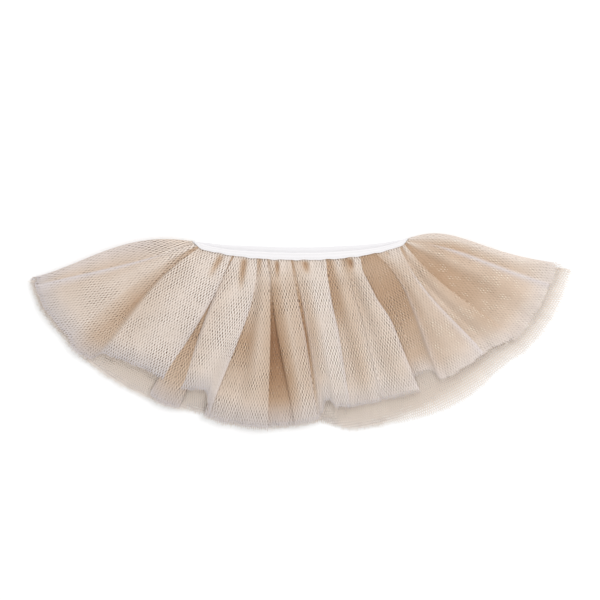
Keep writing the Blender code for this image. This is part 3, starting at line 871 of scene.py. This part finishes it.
def paint_net(nodes, look):
    """Net: threads round a staggered honeycomb of holes, with real holes between them."""
    where = nodes.add("ShaderNodeTexCoord", {}, {}, 3)
    side = nodes.add("ShaderNodeSeparateXYZ", {}, [where])
    # the hem band, the painted shade stored as depth, and the painted highlight of turned edges
    names = ("hem", "depth", "edge")
    hem, painted_shade, edge = (nodes.add("ShaderNodeAttribute", {"attribute_name": n}, {}, 2) for n in names)
    # the honeycomb: 1 in the middle of a hole, below 0 on its knots, pulled about a little
    pull = nodes.noise(where, 200.0, 1.0, 1)
    pull = nodes.add("ShaderNodeVectorMath", {"operation": "SUBTRACT"}, [pull, (0.5, 0.5, 0.5)])
    pull = nodes.add("ShaderNodeVectorMath", {"operation": "SCALE"}, {0: pull, "Scale": look["wander"]})
    place = nodes.add("ShaderNodeUVMap", {"uv_map": "net"})
    place = nodes.add("ShaderNodeVectorMath", {"operation": "ADD"}, [place, pull])
    across = nodes.add("ShaderNodeSeparateXYZ", {}, [place])
    columns = across * (1.0 / look["pitch"][0])
    lines = across.beside(1) * (0.5 / look["pitch"][1])
    weave = (columns * TURN).cosine() * (lines * TURN).cosine() * 2.0
    lattice = (weave + (columns * (2.0 * TURN)).cosine() * look["narrow"]) / (2.0 + look["narrow"])
    grain = nodes.noise(where, 950.0, 1.0)
    ragged = lattice + (grain - 0.5) * look["raggedness"]
    # how open it is: less where it is matted and towards the sides, more at the hem and the cut edge
    open_side = nodes.ramp(side, *reversed(look["open_until"]))
    clear = nodes.ramp(nodes.noise(where, 38.0, 1.0), 0.35, 0.6) * 0.6 + 0.4
    clear = clear * (open_side * 0.65 + 0.35) * (nodes.ramp(side, *FUZZY_LEFT) * 0.45 + 0.55)
    cut = nodes.ramp(hem, *look["cut"])
    widened = between(lattice, ragged, 0.5) + hem * look["thinning"] - (1.0 - clear) * look["closing"]
    widened = widened + cut * (1.0 - open_side * 0.6) * look["cut_thinning"]
    hole = nodes.ramp(widened, look["hole"] - look["soft"], look["hole"] + look["soft"])
    # the thread: uneven, with a painted highlight on its knots, painted shade where the net is deep, and
    # paler along the hem
    slow = nodes.noise(where, 45.0, 2.0)
    cell = [(columns + lines + 0.5).whole(), (columns - lines + 0.5).whole()]
    cell = nodes.add("ShaderNodeCombineXYZ", {}, cell)
    chance = nodes.add("ShaderNodeTexWhiteNoise", {"noise_dimensions": "2D"}, {"Vector": cell})
    uneven = nodes.ramp(slow, 0.3, 0.7) * 0.5 + nodes.ramp(grain, 0.3, 0.7) * 0.5
    colour = nodes.mix(uneven, look["thread_low"], look["thread"])
    lit = (chance * 0.8 + 0.2) * nodes.ramp(lattice, -0.05, -0.35) * clear * look["lit"]
    colour = nodes.mix(lit, colour, look["lit_colour"])
    # painted shade, one tint step for each step of shade
    painted_shade_tint = [share ** (painted_shade * DEEPEST_SHADE_STEPS) for share in SHADE_STEP_TINT]
    colour = nodes.times(colour, nodes.add("ShaderNodeCombineColor", {}, painted_shade_tint))
    pale = nodes.mix(nodes.ramp(side, *look["pale_over"]), look["pale"], look["pale_right"])
    colour = nodes.mix(hem * look["paling"], colour, pale)
    # painted highlight along turned edges
    colour = nodes.mix(edge, colour, look["turned"])
    colour = nodes.mix(cut * (open_side * 0.55 + 0.2) * look["cut_paling"], colour, look["margin"])
    # painted shade in each hole, and painted glints on a few knots
    pit_from, pit_full, strength = look["pit"]
    pit = nodes.ramp(ragged, pit_from, pit_full) * (chance * 0.9 + 0.25) * clear
    pit = pit * (1.0 - hem * look["paling"] * 0.25) * strength
    colour = nodes.mix(pit, colour, nodes.times(colour, (*look["pit_colour"], 1.0)))
    glint = nodes.ramp(chance, look["glint_from"], look["glint_from"] + 0.01)
    glint = glint * nodes.ramp(lattice, -0.3, -0.6) * (0.75 - open_side * 0.5)
    colour = nodes.mix(glint, colour, look["glint"])
    height = lattice * clear * -1.0
    net = nodes.surface(colour, 0.6 - glint * 0.35, height, 0.7, look["thread_size"], (0.2, 0.4))
    through = nodes.add("ShaderNodeBsdfTranslucent", {}, {"Color": (*look["thread_low"], 1.0)})
    net = nodes.add("ShaderNodeMixShader", {}, [look["translucency"], net, through])
    return nodes.add("ShaderNodeMixShader", {}, [hole, net, nodes.add("ShaderNodeBsdfTransparent")])


def valley_shade(valley):
    """Painted shade along one valley at each row."""
    return np.interp(rows, VALLEY_PLACES, VALLEY_SHADES[valley])


def top_front_threads(folds):
    """The top layer's front: each fold foot to foot, with a thread along each valley.

    With each thread go its painted shade, how much painted highlight of a turned edge it takes, and its
    fold.
    """
    threads, values, parts = [], [], []
    crest_fade = ease(rows, *CREST_SHADE_GROWS) * (1.0 - CREST_SHADE_FADE * ease(rows, *CREST_SHADE_FADES))
    for index, fold in enumerate(folds):
        for across, foot, edge in FOLD_SECTION:
            left = across < 0.5
            # painted shade: the crest's own, and the valley's running up a gentle side
            crest_shade = np.interp(across, (0.0, 0.5, 1.0), (fold["crest_shade_left"], fold["crest_shade"], fold["crest_shade_right"]))
            low = (1.0 - crest_level(fold, across)) * between(SOFT_SIDE_SHADE, 0.0, is_crisp(fold, left))
            beside = valley_shade(index if left else index + 1)
            depth = between(crest_shade * crest_fade, beside, 1.0 if foot else low)
            pale = edge * fold["pale_left" if left else "pale_right"]
            threads.append(fold_thread(fold, across, foot))
            values.append((depth, rows * 0.0 + pale))
            parts.append(index)
        if index + 1 < len(folds):
            threads.append(valley_thread(fold, folds[index + 1]))
            values.append((valley_shade(index + 1), rows * 0.0))
            parts.append(index + 1)
    return threads, values, parts


def dimple_depths(plan):
    """Depth of the dimples at each plan position."""
    depth = np.zeros(plan.shape[:2])
    for row in DIMPLES:
        dimple = dict(zip(DIMPLE_COLUMNS, (value * MM for value in row)))
        start = np.array((dimple["x"], dimple["y"]))
        run = np.array((dimple["end_x"], dimple["end_y"])) - start
        length = np.linalg.norm(run)
        run = run / length
        share = ((plan - start) @ run) / length
        beside = (plan - start) @ np.array((-run[1], run[0]))
        profile = ease(share, *DIMPLE_STARTS) * (1.0 - ease(share, *DIMPLE_ENDS))
        depth += dimple["depth"] * profile * np.exp(-((beside / dimple["half_width"]) ** 2))
    return depth


def hem_directions(grid, rows_up):
    """Which way each thread points at the hem, taken over a few rows."""
    outwards = grid[-1] - grid[-1 - rows_up]
    return outwards / np.linalg.norm(outwards, axis=1, keepdims=True)


def ruffled_hem(grid):
    """The grid with its cut edge a little uneven in length and height."""
    gone = gone_round(grid[-1])[1:]
    moved = hem_directions(grid, 7) * waves(gone, HEM_WAVES)[:, None]
    moved[:, 2] += waves(gone, HEM_RIPPLES)
    ruffled = grid + ease(rows, HEM_WAVES_FROM)[:, None, None] * moved[None]
    ruffled[:, :, 2] = np.maximum(ruffled[:, :, 2], LOWEST)
    return ruffled


def net_piece(name, grid, parts, material, hem_band, depth, edge):
    """A net layer's mesh on its grid, with the numbers that its material reads."""
    faces = ring_faces(*grid.shape[:2], False).tolist()
    piece = plain_piece(name, grid.reshape(-1, 3), faces, material)
    give_uv(piece, "net", ring_uv(grid, parts))
    hem = np.repeat(1.0 - ease((1.0 - rows) * NET_LENGTH, 0.0, hem_band), grid.shape[1])
    for attribute, values in (("hem", hem), ("depth", depth), ("edge", edge)):
        stored = piece.data.attributes.new(attribute, "FLOAT", "POINT")
        stored.data.foreach_set("value", np.asarray(values, dtype=np.float32).ravel())
    return piece


def one_cut_end(nodes, sizes):
    """A short thin cone that points out of the edge, swung a little to one side."""

    def random(low, high, seed):
        sockets = {2: low, 3: high, "Seed": seed}
        return nodes.add("FunctionNodeRandomValue", {"data_type": "FLOAT"}, sockets, 1)

    spread, radius = sizes["Spread"], sizes["Radius"]
    out = nodes.add("GeometryNodeInputNamedAttribute", {"data_type": "FLOAT_VECTOR"}, {"Name": "out"})
    turn = nodes.add("FunctionNodeAlignRotationToVector", {"axis": "Z"}, {"Vector": out})
    swing = [random(spread * -1.0, spread, 5), random(spread * -0.5, spread * 0.5, 8)]
    swing = nodes.add("ShaderNodeCombineXYZ", {}, swing)
    swing = nodes.add("FunctionNodeEulerToRotation", {}, {"Euler": swing})
    turn = nodes.add("FunctionNodeRotateRotation", {"rotation_space": "LOCAL"}, [turn, swing])
    sockets = {"Vertices": 4, "Radius Top": 0.5, "Radius Bottom": 1.0, "Depth": 1.0}
    cone = nodes.add("GeometryNodeMeshCone", {}, sockets)
    length = random(sizes["Shortest"], sizes["Longest"], 3)
    return cone, turn, nodes.add("ShaderNodeCombineXYZ", {}, [radius, radius, length])


def cut_ends(name, grid, material):
    """Short ends of cut thread all round a net's hem, none of them below the surface it lies on."""
    ends = lay_along(name, grid[-1], CUT_ENDS, one_cut_end, material, hem_directions(grid, 3))
    for vertex in ends.data.vertices:
        vertex.co.z = max(vertex.co.z, CUT_ENDS_LOWEST)
    return ends


folds = []
for fold_rows in zip(FOLDS, FOLD_HEMS, FOLD_SHAPES):
    fold = dict(zip(FOLD_COLUMNS + HEM_COLUMNS + SHAPE_COLUMNS, sum(fold_rows, ())))
    fold["up_before"] = folds[-1]["up_after"] if folds else fold["up_left"]
    fold["shallow_before"] = folds[-1]["shallow_after"] if folds else 0.0
    folds.append(fold)
front, values, parts = top_front_threads(folds)
front_count = len(front)
right_up = (TOP_TIP_UP, TOP_BACK_UP[-1])
ring = tube(front, 0.0, valley_z(), TOP_BACK_Z, TOP_LEFT_UP, right_up, TOP_BACK_UP, SLOT_BACK[0])
left_count = SIDE_STEPS + 1
plain = np.zeros((2, NET_ROWS))
values += [plain] * (len(ring) - front_count - left_count)
values += [plain + np.array(SIDE_SHADE)[:, None]] * left_count
steps = [FRONT_STEPS] * front_count + [BACK_STEPS] * (len(ring) - front_count)
top_grid = smooth_ring(ring, steps)
depth, edge = np.moveaxis(finer_values(np.array(values), steps), 1, 0)

front_width = front_count * FRONT_STEPS
back_width = top_grid.shape[1] - front_width
is_front = np.arange(top_grid.shape[1]) < front_width
dents = dimple_depths(top_grid[:, :, :2]) * is_front * ease(rows, *DIMPLES_FROM)[:, None]
top_grid[:, :, 2] -= dents
pucker_share = ease(rows, *PUCKERS_FROM) * (1.0 - ease(rows, 0.0, PUCKER_REACH))
top_grid[:, :, 2] += waves(top_grid[0, :, 0], PUCKERS) * pucker_share[:, None] * is_front
top_grid = ruffled_hem(top_grid)
back_parts = len(FOLDS) + np.arange(back_width) * BACK_UV_PARTS // back_width
parts = np.concatenate((np.repeat(parts, FRONT_STEPS), back_parts))
# painted shade in the dimples, more where they are deeper
depth = np.clip(depth.T + DIMPLE_SHADE * dents / MM, 0.0, 1.0)
edge = edge.T * ease(rows, *EDGE_HIGHLIGHT_GROWS)[:, None]
champagne_net = new_material("champagne_net", paint_net, TOP_NET_LOOK)
top_net = net_piece("top_net", top_grid, parts, champagne_net, HEM_BAND, depth, edge)
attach(top_net, "root")
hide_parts("top_net_layer")

champagne_thread = new_material("champagne_thread", paint_sewing_thread, CHAMPAGNE_THREAD)
top_ends = cut_ends("top_net_cut_ends", top_grid, champagne_thread)
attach(top_ends, "root")

# ----------------------------------------------------------------------
# Under net layer. Finer and softer cream net, a second tube inside the first and sewn into the same
# binding. It is cut longer, so its raw edge shows below the top layer along the lower right.
# ----------------------------------------------------------------------
UNDER_FLUTES = 14
UNDER_THREADS_PER_FLUTE = 6
UNDER_FRONT_STEPS = 4
UNDER_FLUTE_HEIGHT = 3.0 * MM
FLUTE_WANDERS = ((0.011, 3.3, 0.0),)  # how far to and fro, how many times, start
FLUTES_FROM_SIDE = (0.02, 0.1)
FLUTES_GROW = (0.04, 0.4)
UNDER_INSETS = (1.8 * MM, 4.0 * MM)  # inside the top layer's side folds, at the waist and further down
UNDER_INSET_BY = 0.3
UNDER_FRONT_UP = (0.0, 0.0, 0.0, 0.0)
UNDER_BACK_UP = (1.0 * MM, 1.0 * MM, 14.0 * MM, 17.0 * MM)
UNDER_DIMPLES = 0.7  # share of the top layer's that it follows
UNDER_HEM_BAND = 16.0 * MM
UNDER_UV_PARTS = 24
CREAM_THREAD = (0.78, 0.71, 0.64)
UNDER_NET_LOOK = {
    "pitch": (1.9 * MM, 2.3 * MM),
    "narrow": 0.0,
    "raggedness": 0.8,
    "wander": 1.1 * MM,
    "thread_size": 0.2 * MM,
    "hole": 0.35,
    "soft": 0.15,
    "thinning": 0.2,
    "closing": 0.0,
    "open_until": (0.3, 0.4),
    "cut": (0.55, 1.0),
    "cut_thinning": 0.45,
    "cut_paling": 0.2,
    "margin": (0.88, 0.83, 0.81),
    "thread": (0.81, 0.715, 0.63),
    "thread_low": (0.74, 0.645, 0.56),
    "turned": (0.88, 0.83, 0.81),
    "pale": (0.8, 0.76, 0.73),
    "pale_right": (0.8, 0.76, 0.73),
    "pale_over": (-0.08, 0.15),
    "paling": 0.3,
    # painted highlight on the knots, painted shade in the holes and painted glints, as on the top net
    "lit": 0.5,
    "lit_colour": (0.95, 0.9, 0.84),
    "pit": (0.05, 0.5, 0.8),
    "pit_colour": (0.6, 0.5, 0.42),
    "glint": (0.95, 0.9, 0.8),
    "glint_from": 0.9,
    "translucency": 0.25,
}


def flute_heights(share):
    """Height of the under layer's front along the thread at a share of the way from left to right."""
    wave, clear_of_side = uneven_wave(share, UNDER_FLUTES, FLUTE_WANDERS, FLUTES_FROM_SIDE)
    rise = ease(rows, *FLUTES_GROW) * flatter_hem()
    return UNDER_FRONT_Z + UNDER_FLUTE_HEIGHT * rise * wave * clear_of_side


inset = between(*UNDER_INSETS, ease(rows, 0.0, UNDER_INSET_BY))
front_count = UNDER_FLUTES * UNDER_THREADS_PER_FLUTE - 1
front = plain_threads(front_count, 0.0, UNDER_FRONT_UP, SLOT_FRONT[1], flute_heights)
ups = ((0.0, UNDER_BACK_UP[0]), (0.0, UNDER_BACK_UP[-1]), UNDER_BACK_UP)
ring = tube(front, inset, UNDER_FRONT_Z, UNDER_BACK_Z, *ups, SLOT_BACK[1])
steps = [UNDER_FRONT_STEPS] * front_count + [BACK_STEPS] * (len(ring) - front_count)
under_grid = smooth_ring(ring, steps)
front_width = front_count * UNDER_FRONT_STEPS
under_grid[:, :front_width, 2] -= UNDER_DIMPLES * dimple_depths(under_grid[:, :front_width, :2])
under_grid = ruffled_hem(under_grid)
parts = np.arange(under_grid.shape[1]) * UNDER_UV_PARTS // under_grid.shape[1]
flat_values = np.zeros(under_grid.shape[:2])
cream_net = new_material("cream_net", paint_net, UNDER_NET_LOOK)
given = (under_grid, parts, cream_net, UNDER_HEM_BAND)
under_net = net_piece("under_net", *given, flat_values, flat_values)
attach(under_net, "root")
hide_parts("under_net_layer")

cream_thread = new_material("cream_thread", paint_sewing_thread, CREAM_THREAD)
under_ends = cut_ends("under_net_cut_ends", under_grid, cream_thread)
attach(under_ends, "root")

# ----------------------------------------------------------------------
# Floor, light and camera. A plain white floor, one large soft light from the upper right and a bright room,
# seen from straight above.
# ----------------------------------------------------------------------
FLOOR_HALF = 4.0
FLOOR_WHITE = (0.93, 0.93, 0.93, 1.0)
LIGHT_SIZE = 1.2
LIGHT_WATTS = 18.0
LIGHT_PLACE = (1.3, 1.1, 1.6)
CAMERA_HEIGHT = 1.5
CAMERA_AIM = (-0.45 * MM, 27.45 * MM)
VIEW_WIDTH = 0.54
SENSOR = 36.0


def paint_floor(nodes):
    """Plain matt white."""
    return nodes.add("ShaderNodeBsdfPrincipled", {}, {"Base Color": FLOOR_WHITE, "Roughness": 0.9})


corners = [(FLOOR_HALF * x, FLOOR_HALF * y, 0.0) for x, y in ((-1, -1), (1, -1), (1, 1), (-1, 1))]
floor = plain_piece("floor", corners, [(0, 1, 2, 3)], new_material("white_floor", paint_floor))

world = bpy.data.worlds.new("white_room")
world.use_nodes = True
room = world.node_tree.nodes["Background"]
room.inputs["Color"].default_value = (1.0, 1.0, 1.0, 1.0)
room.inputs["Strength"].default_value = 1.0
bpy.context.scene.world = world

soft_light = bpy.data.lights.new("soft_key", "AREA")
soft_light.shape = "SQUARE"
soft_light.size = LIGHT_SIZE
soft_light.energy = LIGHT_WATTS
key_light = place_object("soft_key", soft_light)
key_light.location = LIGHT_PLACE
to_origin = -mathutils.Vector(LIGHT_PLACE)
key_light.rotation_euler = to_origin.to_track_quat("-Z", "Y").to_euler()

lens = bpy.data.cameras.new("from_above")
lens.sensor_width = SENSOR
lens.lens = SENSOR * CAMERA_HEIGHT / VIEW_WIDTH
camera = place_object("from_above", lens)
camera.location = (*CAMERA_AIM, CAMERA_HEIGHT)
bpy.context.scene.camera = camera
bpy.context.scene.view_settings.view_transform = "Standard"
